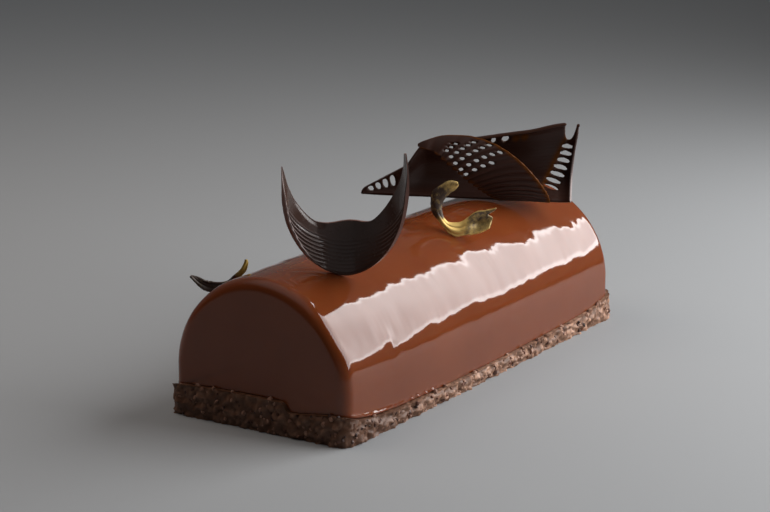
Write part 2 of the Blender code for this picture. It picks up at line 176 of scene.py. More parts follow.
def joint_height(x, y):
    """Joint between log and base, with the sag of glaze over one half of the near end."""
    near = min(1.0, max(0.0, 1.0 - (x + LOG_LENGTH / 2) / SAG_REACH))
    crown = JOINT_CROWN * (1.0 - (y / LOG_HALF_WIDTH) ** 2)
    past = SAG_START - y
    sag = smooth(past / SAG_STEP) * (1.0 - 0.88 * smooth(past / (LOG_HALF_WIDTH + SAG_START)))
    return JOINT_HEIGHT + near * (crown - SAG_DEPTH * sag)


def base_ring(inset):
    """Points and outward directions round the rectangular plan, drawn in by an inset."""
    corner = max(BASE_CORNER - inset, 0.6 * MM)
    hold_x = LOG_LENGTH / 2 + BASE_OVERHANG - inset - corner
    hold_y = LOG_HALF_WIDTH + BASE_OVERHANG - inset - corner
    ring = []
    for turn, count, start, end in BASE_SIDES:
        out = (math.cos(math.radians(turn)), math.sin(math.radians(turn)))
        for i in range(count):
            share = i / count
            x = hold_x * (start[0] + (end[0] - start[0]) * share)
            y = hold_y * (start[1] + (end[1] - start[1]) * share)
            ring.append((x + out[0] * corner, y + out[1] * corner, *out))
        for i in range(CORNER_STEPS):
            angle = math.radians(turn + 90.0 * i / CORNER_STEPS)
            out = (math.cos(angle), math.sin(angle))
            ring.append((hold_x * end[0] + out[0] * corner, hold_y * end[1] + out[1] * corner, *out))
    return ring


def base_top(x, y):
    """Ledge under the glaze outside, raised middle inside, and level at the two ends."""
    past = smooth((abs(x) - LOG_LENGTH / 2) / BASE_OVERHANG)
    level = joint_height(x, math.copysign(min(abs(y), FLANK), y))
    if abs(y) < FLANK + FLANK_STEP:
        return level - GAP
    return foot_height(x) + (level - foot_height(x)) * past - GAP


def lumps(x, y, z):
    """Relief of nut pieces and wafer bits: rounded tops and narrow pits between, about -1 to 1."""
    place = Vector((x, y, 0.75 * z)) / LUMP_SCALE
    place += 0.35 * noise.noise_vector(place * 1.7)
    near = noise.voronoi(place)[0]
    small = noise.voronoi(place * 2.3 + Vector((5.0, 2.0, 9.0)))[0]
    top = 1.25 * min(1.0, 1.9 * (near[1] - near[0])) - 0.75
    return top + 0.35 * min(1.0, 1.6 * (small[1] - small[0])) - 0.1


def near_darkening(x):
    """How pale the crumb is along the log: darker over the near third."""
    return 0.3 + 0.7 * smooth((x + 92.0 * MM) / (55.0 * MM))


def swell(x, y, z, share):
    """How far out the pressed wall lies at a share of its rise, as in the solid."""
    point = Vector((x, y, z * 1.3)) / CRUMB_SCALE
    crag = 1.5 * noise.noise(point) + 0.8 * noise.noise(point * 2.3 + Vector((7.0, 3.0, 5.0)))
    return CRUMB_INSET * (math.sin(math.pi * share) - 1.0) + CRUMB_RELIEF * max(-1.0, min(1.0, crag))


base_verts = []
base_tone = []
outer = base_ring(0.0)
around = len(outer)
for row in range(BASE_ROWS + 1):
    share = row / BASE_ROWS
    for x, y, out_x, out_y in outer:
        z = share * base_top(x, y)
        rough = lumps(x, y, z)
        push = swell(x, y, z, share) - 0.4 * CRUMB_INSET + LUMP_RELIEF * rough
        lift = 0.0 if row == 0 else 0.25 * LUMP_RELIEF * rough * share
        base_verts.append((x + out_x * push, y + out_y * push, z + lift))
        # Paler on the tops of the relief and darker in its pits: partly the chocolate between the nuts,
        # partly painted shade.
        base_tone.append((0.5 + 0.5 * rough) * near_darkening(x))
for inset in BASE_RINGS:
    loose = 1.0 - smooth(inset / 2.6)
    for x, y, out_x, out_y in base_ring(inset * MM):
        push = -0.4 * MM * loose
        rough = lumps(x, y, 0.02)
        top = base_top(x, y) + 0.35 * LUMP_RELIEF * loose * rough
        base_verts.append((x + out_x * push, y + out_y * push, top))
        # Here too the pits are darker, partly painted shade.
        base_tone.append((0.5 + 0.5 * rough) * near_darkening(x))
base_faces = [tuple(reversed(range(around)))]
for low in range(0, len(base_verts) - around, around):
    for i in range(around):
        j = (i + 1) % around
        base_faces.append((low + i, low + j, low + around + j, low + around + i))
base_faces.append(tuple(range(len(base_verts) - around, len(base_verts))))


def crumb_material(name, pale, dark, rough):
    """Crushed nut and wafer in milk chocolate: dull, pale on the cut faces and dark in the pits, partly
    the chocolate between the nuts and partly painted shade.
    """
    material, shader = new_material(name, {"Roughness": rough, "IOR": 1.45})
    place = add_node(material, "TexCoord")
    tone = add_node(material, "Attribute", attribute_name="tone")
    spots = add_node(material, "TexNoise",
                     {"Vector": place.outputs["Object"], "Scale": 1.0 / (2.4 * MM), "Detail": 3.0})
    both = add_node(material, "Math",
                    {0: tone.outputs["Fac"], 1: spots.outputs["Fac"]}, operation="MULTIPLY")
    ramp = add_node(material, "MapRange",
                    {"Value": both.outputs[0], "From Min": 0.03, "From Max": 0.42})
    mixed = add_node(material, "Mix", {0: ramp.outputs[0], 6: linear(dark), 7: linear(pale)},
                     data_type="RGBA")
    join_sockets(material, mixed.outputs[2], shader, "Base Color")
    fine = add_node(material, "TexNoise",
                    {"Vector": place.outputs["Object"], "Scale": 1.0 / (0.5 * MM), "Detail": 3.0})
    bump = add_node(material, "Bump",
                    {"Height": fine.outputs["Fac"], "Distance": 0.12 * MM, "Strength": 0.4})
    join_sockets(material, bump.outputs["Normal"], shader, "Normal")
    return material


crisp = crumb_material("pressed_nut_crisp", "#B0866D", "#53331F", 0.55)
make_piece("crisp_base_wall", base_verts, base_faces, crisp, ["crisp_base"],
           marks={"tone": base_tone})

GRAIN_COUNT = 260
GRAIN_SIZE = (0.6 * MM, 1.6 * MM)
GRAIN_SINK = 0.8


def grain_mesh(seed, flat):
    """Broken grains set into the wall: many small lumps joined in one mesh."""
    draw = random.Random(seed)
    ball = bmesh.new()
    bmesh.ops.create_icosphere(ball, subdivisions=1, radius=1.0)
    shape = [vert.co.copy() for vert in ball.verts]
    shells = [[vert.index for vert in face.verts] for face in ball.faces]
    ball.free()
    verts, faces, tones = [], [], []
    for _ in range(GRAIN_COUNT):
        x, y, out_x, out_y = outer[draw.randrange(around)]
        share = draw.uniform(0.05, 1.0)
        z = share * base_top(x, y)
        radius = draw.uniform(*GRAIN_SIZE)
        push = swell(x, y, z, share) - radius * GRAIN_SINK
        centre = Vector((x + out_x * push, y + out_y * push, max(z, radius * 0.75)))
        turn = Euler([draw.uniform(0.0, math.tau) for _ in range(3)]).to_matrix()
        stretch = Vector((1.0, draw.uniform(0.6, 1.0), draw.uniform(flat, 1.0)))
        tone = draw.random() * near_darkening(x)
        first = len(verts)
        for co in shape:
            knock = 1.0 + draw.uniform(-0.2, 0.2)
            point = centre + turn @ (co * stretch * radius * knock)
            verts.append((point.x, point.y, max(point.z, 0.05 * MM)))
            tones.append(tone)
        faces.extend([[first + i for i in shell] for shell in shells])
    return verts, faces, tones


# Nut pieces are pale and rounded, and the crumbs between them are dark and flatter.
for name, finish, pale, dark, rough, seed, flat in (
        ("nut_grains", "chopped_hazelnut", "#B8917C", "#7A5543", 0.55, 11, 0.5),
        ("chocolate_crumbs", "chocolate_crumbs", "#7A4A34", "#331A12", 0.5, 23, 0.35)):
    grain_verts, grain_faces, grain_tones = grain_mesh(seed, flat)
    make_piece(name, grain_verts, grain_faces, crumb_material(finish, pale, dark, rough),
               sharp=35.0, marks={"tone": grain_tones})

# ------------------------------------------------
# Glazed log
# A frozen mousse log turned out of an arched mould and covered in one pour of milk chocolate
# mirror glaze. The glaze has run down in soft flutes, so what it mirrors has ragged edges.
# ------------------------------------------------
LOG_TOP = 58.5 * MM
LOG_SPRING = 18.9 * MM
LOG_ARCH_POWER = 1.95
LOG_END_ROUND = 4.8 * MM
ARCH_STEPS = 128
WALL_STEPS = 14
END_STEPS = 9
JOINT_STEPS = 28
CAP_STEPS = 14
CAP_MIDDLE = 27.0 * MM
BAY = 0.72 * MM
# Flutes of the glaze: place along the log in mm, then the slope of the skin there in degrees.
SHOULDER_FLUTES = [(-104, 4.6), (-101, 3.6), (-96, 2.2), (-90, 0.7), (-82, -1.9), (-76, 1.2),
                   (-70, -1.9), (-67, -1.2), (-64, 0.7), (-59, -0.9), (-53, 1.3), (-47, 0.6),
                   (-43, 2.2), (-38, -0.1), (-33, 0.8), (-29.5, 2.0), (-26, 0.6), (-20, 3.0),
                   (-14, 3.0), (-9, 0.3), (-4.5, 0.8), (1, 4.2), (5, 5.2), (8, 6.2), (11, 3.9),
                   (15, 1.0), (18, 0.8), (22.5, 4.2), (26, 3.2), (35, 0.9), (41, -2.4), (45, -3.8),
                   (49, 0.0), (54, 0.2), (59.5, 2.2), (66, 2.3), (70, 1.8), (73, 0.2), (77, -3.2),
                   (81, -4.6), (84, -4.2), (88, 1.0), (92, 1.4), (96, 0.2), (103, -0.6)]
FLANK_FLUTES = [(-99, -6.2), (-93, -3.9), (-84, -1.2), (-78, -1.0), (-75, 2.4), (-71.5, 2.6),
                (-69.5, -4.0), (-67.5, -8.0), (-64.5, -4.6), (-60, -3.4), (-57, -1.4), (-55, 0.2),
                (-52, -1.5), (-43, 2.0), (-36, -1.2), (-22, 0.8), (-14, 1.8), (-10, 3.2), (-4, -0.8),
                (2, -0.2), (13, -1.8), (24, -0.6), (30, -1.3), (35, 0.3), (40, -1.3), (48, 0.4),
                (57, 0.8), (62, -0.2), (68, -1.2), (76, -0.2), (80, 0.2), (87, -3.2), (92, -0.8),
                (97, 1.0)]
# Way up from the foot to each row of flutes. The shoulder's lies lower toward the far end: where each
# drop starts, how long it is and how deep.
FLANK_LINE = 25.8 * MM
SHOULDER_LINE = 46.6 * MM
SHOULDER_DROPS = ((26.0 * MM, 16.0 * MM, 3.0 * MM), (74.0 * MM, 12.0 * MM, 2.6 * MM))
FLUTE_REACH = 8.0 * MM
RIPPLE_REACH = 3.8 * MM
# Ripples on the flutes: slope in degrees, length along the log, place in the noise.
RIPPLES = ((1.2, 4.4 * MM, 0.0), (0.5, 2.0 * MM, 30.0))
RIPPLE_TALL = 30.0 * MM
# The crescent was pushed in while the glaze was setting, and wrinkled it beside its foot.
WRINKLE_AT = -88.0 * MM
WRINKLE_PITCH = 3.6 * MM
WRINKLE_REACH = 9.5 * MM
WRINKLE_WIDE = 6.0 * MM
WRINKLE_DEPTH = 0.2 * MM
BEAD_HEIGHT = 0.62 * MM
BEAD_LINE = 0.8 * MM
BEAD_WIDE = 0.6 * MM


def flute_slope(flutes, x):
    """Slope of the glaze between the named flutes, in radians."""
    place = x / MM
    if place <= flutes[0][0]:
        return math.radians(flutes[0][1])
    for (left, low), (right, high) in zip(flutes, flutes[1:]):
        if place <= right:
            return math.radians(low + (high - low) * (place - left) / (right - left))
    return math.radians(flutes[-1][1])


def shoulder_line(x):
    return SHOULDER_LINE - sum(deep * smooth((x - start) / long) for start, long, deep in SHOULDER_DROPS)


def glaze_wave(x, s, total):
    """Height of the glaze's ripples over the true arch, s being the way up from the near foot."""
    height = 0.0
    for line, flutes, place in ((shoulder_line(x), SHOULDER_FLUTES, 40.5),
                                (FLANK_LINE, FLANK_FLUTES, 23.0)):
        ripple = sum(angle * noise.noise(Vector((x / long, s / RIPPLE_TALL, place + shift)))
                     for angle, long, shift in RIPPLES)
        slow = sum(flute_slope(flutes, x + step * MM) for step in range(-9, 10, 3)) / 7.0
        quick = 0.9 * (flute_slope(flutes, x) - slow) + math.radians(ripple)
        off = s - line
        height += slow * off * math.exp(-(off / FLUTE_REACH) ** 2)
        height += quick * off * math.exp(-(off / RIPPLE_REACH) ** 2)
    far = smooth((s - 0.45 * total) / (0.15 * total))
    height += far * 0.35 * MM * noise.noise(Vector((x / (14.0 * MM), s / (17.0 * MM), 4.0)))
    height += 0.05 * MM * noise.noise(Vector((x / (7.0 * MM), s / (26.0 * MM), 8.0)))
    away = math.hypot(x - WRINKLE_AT, s - 0.385 * total)
    uneven = 0.6 * noise.noise(Vector((x, s, 0.0)) / (7.0 * MM))
    wrinkle = math.cos(2.0 * math.pi * (away / WRINKLE_PITCH + uneven))
    wrinkle *= math.exp(-((away - WRINKLE_REACH) / WRINKLE_WIDE) ** 2)
    return height + WRINKLE_DEPTH * wrinkle * smooth((s - 0.39 * total) / (0.05 * total))


def glaze_bead(x, y, low):
    """Bead of glaze along the foot: thick and whole near the near end, thin and broken farther on."""
    bead = BEAD_HEIGHT * math.exp(-((low - BEAD_LINE) / BEAD_WIDE) ** 2)
    bead *= 0.75 + 0.45 * math.exp(-((x + 86.0 * MM) / (10.0 * MM)) ** 2)
    bead *= 1.0 - 0.75 * smooth((x + 55.0 * MM) / (30.0 * MM))
    broken = 0.2 + 2.0 * smooth((x + 80.0 * MM) / (25.0 * MM))
    drops = noise.noise(Vector((x / (2.6 * MM), y * 30.0, 2.0)))
    return bead * max(0.0, 1.0 + broken * drops)


def log_outline(x, inset):
    """Outline from the near foot over the arch to the far foot: across, up, way along, normal."""
    wide, tall = LOG_HALF_WIDTH - inset, LOG_TOP - inset
    foot = foot_height(x)
    points = []
    for i in range(WALL_STEPS):
        share = (i / WALL_STEPS) ** 1.5
        points.append((-wide, foot + (LOG_SPRING - foot) * share))
    for i in range(ARCH_STEPS + 1):
        turn = math.pi * i / ARCH_STEPS
        across = math.copysign(abs(math.cos(turn)) ** (2.0 / LOG_ARCH_POWER), math.cos(turn))
        up = math.sin(turn) ** (2.0 / LOG_ARCH_POWER) if 0 < i < ARCH_STEPS else 0.0
        points.append((-wide * across, LOG_SPRING + (tall - LOG_SPRING) * up))
    points += [(-y, z) for y, z in reversed(points[:WALL_STEPS])]
    way = [0.0]
    for (y0, z0), (y1, z1) in zip(points, points[1:]):
        way.append(way[-1] + math.hypot(y1 - y0, z1 - z0))
    outline = []
    for i, (y, z) in enumerate(points):
        before, after = points[max(i - 1, 0)], points[min(i + 1, len(points) - 1)]
        along = Vector((after[0] - before[0], after[1] - before[1])).normalized()
        outline.append((y, z, way[i], -along.y, along.x, way[-1]))
    return outline


def log_ring(x):
    """One closed ring of the skin at a station, from foot to foot and back under the log."""
    past = max(0.0, abs(x) - (LOG_LENGTH / 2 - LOG_END_ROUND))
    inset = LOG_END_ROUND - math.sqrt(max(LOG_END_ROUND ** 2 - past ** 2, 0.0))
    fade = 1.0 - smooth(past / LOG_END_ROUND)
    foot = foot_height(x)
    ring = []
    for y, z, s, out_y, out_z, total in log_outline(x, inset):
        low = min(s, total - s)
        push = fade * (glaze_wave(x, s, total) * smooth(low / (9.0 * MM)) + glaze_bead(x, y, low))
        ring.append((x, y + out_y * push, z + out_z * push))
    ring.append((x, FLANK + FLANK_STEP, foot))
    for i in range(JOINT_STEPS + 1):
        y = FLANK * (1.0 - 2.0 * i / JOINT_STEPS)
        ring.append((x, y, joint_height(x, y)))
    ring.append((x, -FLANK - FLANK_STEP, foot))
    return ring


half = LOG_LENGTH / 2
soft = [half - LOG_END_ROUND * (1.0 - math.sin(math.pi / 2 * i / END_STEPS))
        for i in range(END_STEPS + 1)]
bays = round(2.0 * soft[0] / BAY)
stations = [-x for x in reversed(soft)]
stations += [soft[0] * (2.0 * i / bays - 1.0) for i in range(1, bays)] + soft
log_verts = []
for x in stations:
    log_verts.extend(log_ring(x))
width = len(log_verts) // len(stations)
log_faces = []
for k in range(len(stations) - 1):
    for i in range(width):
        j = (i + 1) % width
        log_faces.append((k * width + i, (k + 1) * width + i, (k + 1) * width + j, k * width + j))
for end, first in ((-1.0, 0), (1.0, (len(stations) - 1) * width)):
    rim = [Vector(log_verts[first + i]) for i in range(width)]
    middle = Vector((end * half, 0.0, CAP_MIDDLE))
    previous = [first + i for i in range(width)]
    for step in range(1, CAP_STEPS):
        share = 1.0 - step / CAP_STEPS
        current = []
        for point in rim:
            spot = middle + (point - middle) * share
            grain = Vector((end * 5.0, spot.y / (13.0 * MM), spot.z / (13.0 * MM)))
            dent = 0.1 * MM * noise.noise(grain)
            current.append(len(log_verts))
            log_verts.append((spot.x + dent * (1.0 - share), spot.y, spot.z))
        for i in range(width):
            j = (i + 1) % width
            quad = (previous[i], previous[j], current[j], current[i])
            log_faces.append(quad if end < 0 else quad[::-1])
        previous = current
    centre = len(log_verts)
    log_verts.append(tuple(middle))
    for i in range(width):
        triangle = (previous[i], previous[(i + 1) % width], centre)
        log_faces.append(triangle if end < 0 else triangle[::-1])

# A clear mirror gloss over soft brown: light seeps some way in, which warms the rounded edges.
glaze, shader = new_material("milk_chocolate_mirror_glaze", {
    "Roughness": 0.06, "IOR": 1.47, "Subsurface Weight": 0.45,
    "Subsurface Radius": (1.0, 0.38, 0.16), "Subsurface Scale": 5.0 * MM})
place = add_node(glaze, "TexCoord")
clouds = add_node(glaze, "TexNoise",
                  {"Vector": place.outputs["Object"], "Scale": 1.0 / (24.0 * MM), "Detail": 3.0})
blend = add_node(glaze, "Mix", {0: clouds.outputs["Fac"], 6: linear("#652F15"), 7: linear("#753B1D")},
                 data_type="RGBA")
join_sockets(glaze, blend.outputs[2], shader, "Base Color")
make_piece("glazed_mousse_log", log_verts, log_faces, glaze, ["glazed_log"],
           sharp=60.0)

# ------------------------------------------------
# Comb crescent
# Dark chocolate spread thin, scored with a comb and set round a tube, then cut as a lune.
# Satin on the comb's ridges, with the cut edge showing as a fine bright line.
# ------------------------------------------------ Satin, with painted highlights on the comb's crests and along the left arris, and the cut edge painted lighter brown as a painted glow.
FACING = math.radians(-57.5)
CRESCENT_AT = (-70.6 * MM, -18.4 * MM)
CRESCENT_RADIUS = 23.2 * MM
CRESCENT_HORN = (46.8 * MM, 51.3 * MM)
CRESCENT_WAIST = 20.9 * MM
CRESCENT_COLUMNS = 250
CRESCENT_ROWS = 120
CRESCENT_THICK = 1.3 * MM
CRESCENT_SHIFT = 1.2 * MM
CRESCENT_FLARE = 0.5 * MM
# The right horn bends in more and more from this height on.
HORN_LEAN_FROM = 38.0 * MM
HORN_LEAN = 260.0
COMB_PITCH = 1.5 * MM
COMB_FOLLOW = 0.6
COMB_DEPTH = 0.2 * MM
COMB_REACH = 15.8 * MM
RIM_BEAD = 0.26 * MM
# Fold lines of the shard in degrees round the tube, and how flat each panel between them is.
CRESCENT_FOLDS = (-68.0, -20.0, 8.0, 62.0)
CRESCENT_FLATNESS = (0.42, 0.34, 0.12)
FOLD_LEAN = 10.0


def crescent_edges(turn):
    """Lower and upper edge of the crescent at a share of its span, from -1 to 1."""
    share = abs(turn)
    side = 0 if turn < 0.0 else 1
    horn = CRESCENT_HORN[side]
    low = horn * (1.0 - max(1.0 - share ** 1.8, 0.0) ** 0.75)
    ramp = (share - (0.30, 0.25)[side]) / 0.66
    ramp = 0.5 * (ramp + math.sqrt(ramp * ramp + 0.012))
    high = CRESCENT_WAIST + (horn - CRESCENT_WAIST) * min(1.0, ramp ** 1.28)
    high += 0.7 * MM * math.cos(9.0 * turn - 0.4) * (1.0 - smooth(share / 0.4))
    return low, max(high, low + 0.3 * MM)


def crescent_skin(across, up):
    """A place on the crescent, its way in from the lower cut edge, and how the comb scored it there."""
    turn = 2.0 * across - 1.0
    turn = 0.985 * math.copysign(abs(turn) ** 0.9, turn)
    low, high = crescent_edges(turn)
    height = low + (high - low) * up
    step = 0.01
    steep = (crescent_edges(turn + step)[0] - low) / (step * CRESCENT_RADIUS * math.pi / 2)
    rim = (height - low) / math.hypot(1.0, steep)
    drawn = height - COMB_FOLLOW * low
    stroke = abs(math.sin(math.pi * drawn / COMB_PITCH))
    reach = smooth((COMB_REACH - drawn) / (4.0 * MM))
    left = smooth((-turn - 0.18) / 0.1)
    right = smooth((turn - 0.3) / 0.2)
    return turn, height, high, rim, stroke, reach, left, right


def painted_highlight_lines(across, up):
    """How much painted highlight the skin gets: pale along the left arris and on the crests left by the
    comb.
    """
    turn, _, _, rim, stroke, reach, left, right = crescent_skin(across, up)
    arris = math.exp(-((rim - 0.75 * MM) / (0.26 * MM)) ** 2) * smooth((-turn - 0.35) / 0.2)
    crest = smooth((stroke - 0.8) / 0.2) * reach * smooth((rim - 0.4 * MM) / (0.6 * MM))
    crest *= (0.24 * left + 0.13 * right) * smooth((0.9 - abs(turn)) / 0.2)
    return max(arris, crest)


def crescent_point(across, up, front):
    """The bent shard: three nearly flat panels, its front scored by a comb along the lower edge."""
    turn, height, high, rim, stroke, reach, left, right = crescent_skin(across, up)
    angle = turn * math.pi / 2
    fade = reach * smooth((1.0 - abs(turn)) / 0.2) * smooth(rim / (0.9 * MM))
    ridge = COMB_DEPTH * fade * (0.14 + 0.86 * left + 0.45 * right) * (2.0 * stroke - 1.0)
    bead = math.exp(-((rim - 0.6 * MM) / (0.36 * MM)) ** 2)
    ridge += RIM_BEAD * bead * smooth((0.98 - abs(turn)) / 0.1)
    flat = 0.0
    folds = list(CRESCENT_FOLDS)
    folds[1] -= FOLD_LEAN * smooth(height / (24.0 * MM))
    for start, end, share in zip(folds, folds[1:], CRESCENT_FLATNESS):
        half_span = (end - start) / 2
        off = abs(math.degrees(angle) - (start + end) / 2)
        if off < half_span:
            chord = math.cos(math.radians(half_span)) / math.cos(math.radians(off))
            flat = share * CRESCENT_RADIUS * (1.0 - chord)
    window = smooth((-turn - 0.2) / 0.08) * (1.0 - smooth((-turn - 0.62) / 0.15))
    flat -= CRESCENT_FLARE * window * smooth(1.0 - (high - height) / (2.8 * MM))
    thick = CRESCENT_THICK * (0.2 + 0.8 * smooth(min(across, 1.0 - across) / 0.064))
    radius = CRESCENT_RADIUS - flat + (-thick / 2 - ridge if front else thick / 2)
    lean = 1.0
    if turn > 0.0:
        lean -= HORN_LEAN * max(0.0, height - HORN_LEAN_FROM) ** 2
    return Vector((radius * math.sin(angle) * lean - CRESCENT_SHIFT,
                   radius * math.cos(angle) - CRESCENT_RADIUS, height))


def sheet_cells(columns, rows, opened=()):
    """Cells of a grid of points, which run up each column in turn; opened cells are left out."""
    cells = []
    for i in range(columns):
        for j in range(rows):
            if (i, j) not in opened:
                first = i * (rows + 1) + j
                cells.append((first, first + rows + 1, first + rows + 2, first + 1))
    return cells


def sheet(columns, rows, point):
    """Points and cells of a sheet bent to a form."""
    verts = [point(i / columns, j / rows) for i in range(columns + 1) for j in range(rows + 1)]
    return verts, sheet_cells(columns, rows)


def tidy_sheet(verts, faces, marks):
    """Drop the points that no cell uses."""
    used = sorted({i for face in faces for i in face})
    new = {old: k for k, old in enumerate(used)}
    return ([verts[i] for i in used], [tuple(new[i] for i in face) for face in faces],
            {key: [values[i] for i in used] for key, values in marks.items()})


def closed_sheet(columns, rows, point):
    """A sheet with a front and a back of its own, joined round the cut edge."""
    front, faces = sheet(columns, rows, lambda across, up: point(across, up, True))
    back, _ = sheet(columns, rows, lambda across, up: point(across, up, False))
    count, tall = len(front), rows + 1
    faces += [tuple(count + i for i in reversed(face)) for face in faces]
    edge = [i * tall for i in range(columns)] + [columns * tall + j for j in range(rows)]
    edge += [i * tall + rows for i in range(columns, 0, -1)] + list(range(rows, 0, -1))
    for here, after in zip(edge, edge[1:] + edge[:1]):
        faces.append((here, after, count + after, count + here))
    return front + back, faces


def face_outward(piece):
    grid = bmesh.new()
    grid.from_mesh(piece.data)
    bmesh.ops.recalc_face_normals(grid, faces=grid.faces)
    grid.to_mesh(piece.data)
    grid.free()


def set_decoration(name, verts, faces, marks, at, node, thick, material, settle=0.0):
    """Turn a sheet to face the near corner and stand it where its solid is.

    An open sheet is thickened and softened here; a closed one comes with None for its thickness."""
    turn = Matrix.Rotation(FACING, 3, "Z")
    points = [turn @ v + Vector((at[0], at[1], 0.0)) for v in verts]
    verts, faces, marks = tidy_sheet(points, faces, marks)
    piece = make_piece(name, verts, faces, material, [node],
                       sharp=50.0 if thick is None else 180.0, marks=marks)
    face_outward(piece)
    if thick is not None:
        shell = piece.modifiers.new("thickness", "SOLIDIFY")
        shell.thickness = thick
        shell.offset = 0.0
        shell.use_even_offset = False
        if "full" in marks:
            group = piece.vertex_groups.new(name="full")
            for i, weight in enumerate(marks["full"]):
                group.add([i], weight, "REPLACE")
            shell.vertex_group = "full"
            shell.thickness_vertex_group = 0.2
        soften = piece.modifiers.new("softened_edges", "SUBSURF")
        soften.levels = soften.render_levels = 1
    bpy.context.view_layer.update()
    shape = piece.evaluated_get(bpy.context.evaluated_depsgraph_get())
    lowest = min((shape.matrix_world @ Vector(c)).z for c in shape.bound_box)
    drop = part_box(node)[0].z - settle - lowest
    piece.data.transform(Matrix.Translation((0.0, 0.0, drop)))


def dark_chocolate(name, body, edge, rough, gloss):
    """Tempered dark chocolate: satin and near black, with a warm brown painted glow where the chocolate
    is thin and a pale painted highlight where marked.
    """
    material, shader = new_material(name, {"IOR": 1.5})
    place = add_node(material, "TexCoord")
    painted_glow = add_node(material, "Attribute", attribute_name="painted_glow")
    bloom = add_node(material, "TexNoise",
                     {"Vector": place.outputs["Object"], "Scale": 1.0 / (5.0 * MM), "Detail": 4.0})
    patch = add_node(material, "MapRange",
                     {"Value": bloom.outputs["Fac"], "From Min": 0.3, "From Max": 0.7,
                      "To Min": rough - 0.05, "To Max": rough + 0.07})
    join_sockets(material, patch.outputs[0], shader, "Roughness")
    mixed = add_node(material, "Mix", {0: painted_glow.outputs["Fac"], 6: linear(body), 7: linear(edge)},
                     data_type="RGBA")
    # The pale mix here is a painted highlight.
    painted_highlight = add_node(material, "Attribute", attribute_name="painted_highlight")
    highlighted = add_node(material, "Mix",
                      {0: painted_highlight.outputs["Fac"], 6: mixed.outputs[2], 7: linear("#B9A9A6")},
                      data_type="RGBA")
    join_sockets(material, highlighted.outputs[2], shader, "Base Color")
    sheen = add_node(material, "MapRange",
                     {"Value": painted_glow.outputs["Fac"], "To Min": gloss[0], "To Max": gloss[1]})
    join_sockets(material, sheen.outputs[0], shader, "Specular IOR Level")
    grain = add_node(material, "TexNoise",
                     {"Vector": place.outputs["Object"], "Scale": 1.0 / (0.7 * MM), "Detail": 2.0})
    bump = add_node(material, "Bump",
                    {"Height": grain.outputs["Fac"], "Distance": 0.03 * MM, "Strength": 0.5})
    join_sockets(material, bump.outputs["Normal"], shader, "Normal")
    return material


satin = dark_chocolate("satin_dark_chocolate", "#3C2B25", "#6E4A40", 0.24, (0.36, 0.36))
verts, faces = closed_sheet(CRESCENT_COLUMNS, CRESCENT_ROWS, crescent_point)
grid = [(i, j) for i in range(CRESCENT_COLUMNS + 1) for j in range(CRESCENT_ROWS + 1)]
# The cut edge is painted lighter brown, a painted glow, and the front gets painted highlights.
painted_glow = [1.0 if j in (0, CRESCENT_ROWS) or i in (0, CRESCENT_COLUMNS) else 0.0 for i, j in grid]
painted_highlight = [painted_highlight_lines(i / CRESCENT_COLUMNS, j / CRESCENT_ROWS) for i, j in grid]
marks = {"painted_glow": 2 * painted_glow, "painted_highlight": painted_highlight + [0.0] * len(grid)}
set_decoration("combed_crescent", verts, faces, marks, CRESCENT_AT, "comb_crescent", None, satin)

# ------------------------------------------------
# Lattice curl
# A sheet of dark chocolate combed right through in two crossings and rolled while it was soft.
# The back wall stands up and the front flap is rolled over it; light comes through the holes, and
# painted glow warms the thin parts.
# ------------------------------------------------
CURL_AT = (62.5 * MM, -8.0 * MM)
CURL_THICK = 1.3 * MM
CURL_LEFT = -59.5 * MM
CURL_RIGHT = 29.5 * MM
CURL_FOLD_END = 21.5 * MM
CURL_TAIL_HEIGHT = 4.2 * MM
CURL_TAIL_SLOPE = 0.54
CURL_CROWN_HEIGHT = 29.9 * MM
CURL_CROWN_SLOPE = 0.155
CURL_SHOULDER = -41.0 * MM
CURL_SHOULDER_WIDTH = 10.0 * MM
CURL_TILT = 0.045
CURL_BACK_DEPTH = 11.0 * MM
CURL_FOLD_FORWARD = 4.0 * MM
CURL_LEAN = 0.255
CURL_RIM_SLANT = 4.6 * MM
CURL_ROWS = 48
CURL_TAIL_COLUMNS = 74
CURL_FOLD_COLUMNS = 40
CURL_RIM_COLUMNS = 16
FLAP_ROWS = 120
FLAP_PITCH = 8
FLAP_CENTRE = -20.0 * MM
FLAP_RIGHT = 41.5 * MM
FLAP_LEFT = 30.0 * MM
FLAP_HEIGHT = 26.6 * MM
FLAP_SWEEP = math.radians(121.0)
FLAP_BULGE = 8.5 * MM
CURL_RIDGE = 0.14 * MM
FLAP_RIDGE = 0.34 * MM
LIP_REACH = 0.8 * MM
# How much warm brown painted glow the flap has at its lip and in the columns beside it.
LIP_GLOW = (1.0, 1.0, 0.85, 0.3, 0.0)


def curl_top(a):
    """Height of the back wall's top edge along the curl."""
    tail = CURL_TAIL_HEIGHT + CURL_TAIL_SLOPE * (a - CURL_LEFT)
    crown = CURL_CROWN_HEIGHT + CURL_CROWN_SLOPE * a
    corner = 1.3 * MM * smooth((a - 10.0 * MM) / (12.0 * MM))
    corner *= 1.0 - smooth((a - 25.5 * MM) / (3.0 * MM))
    nose = 1.0 - min(1.0, (a - CURL_LEFT) / (3.2 * MM))
    tail -= 1.5 * MM * (1.0 - math.sqrt(1.0 - nose * nose))
    return tail + (crown - tail) * smooth((a - CURL_SHOULDER) / CURL_SHOULDER_WIDTH) + corner


def curl_bottom(a):
    return -CURL_TILT * (a + 8.7 * MM)


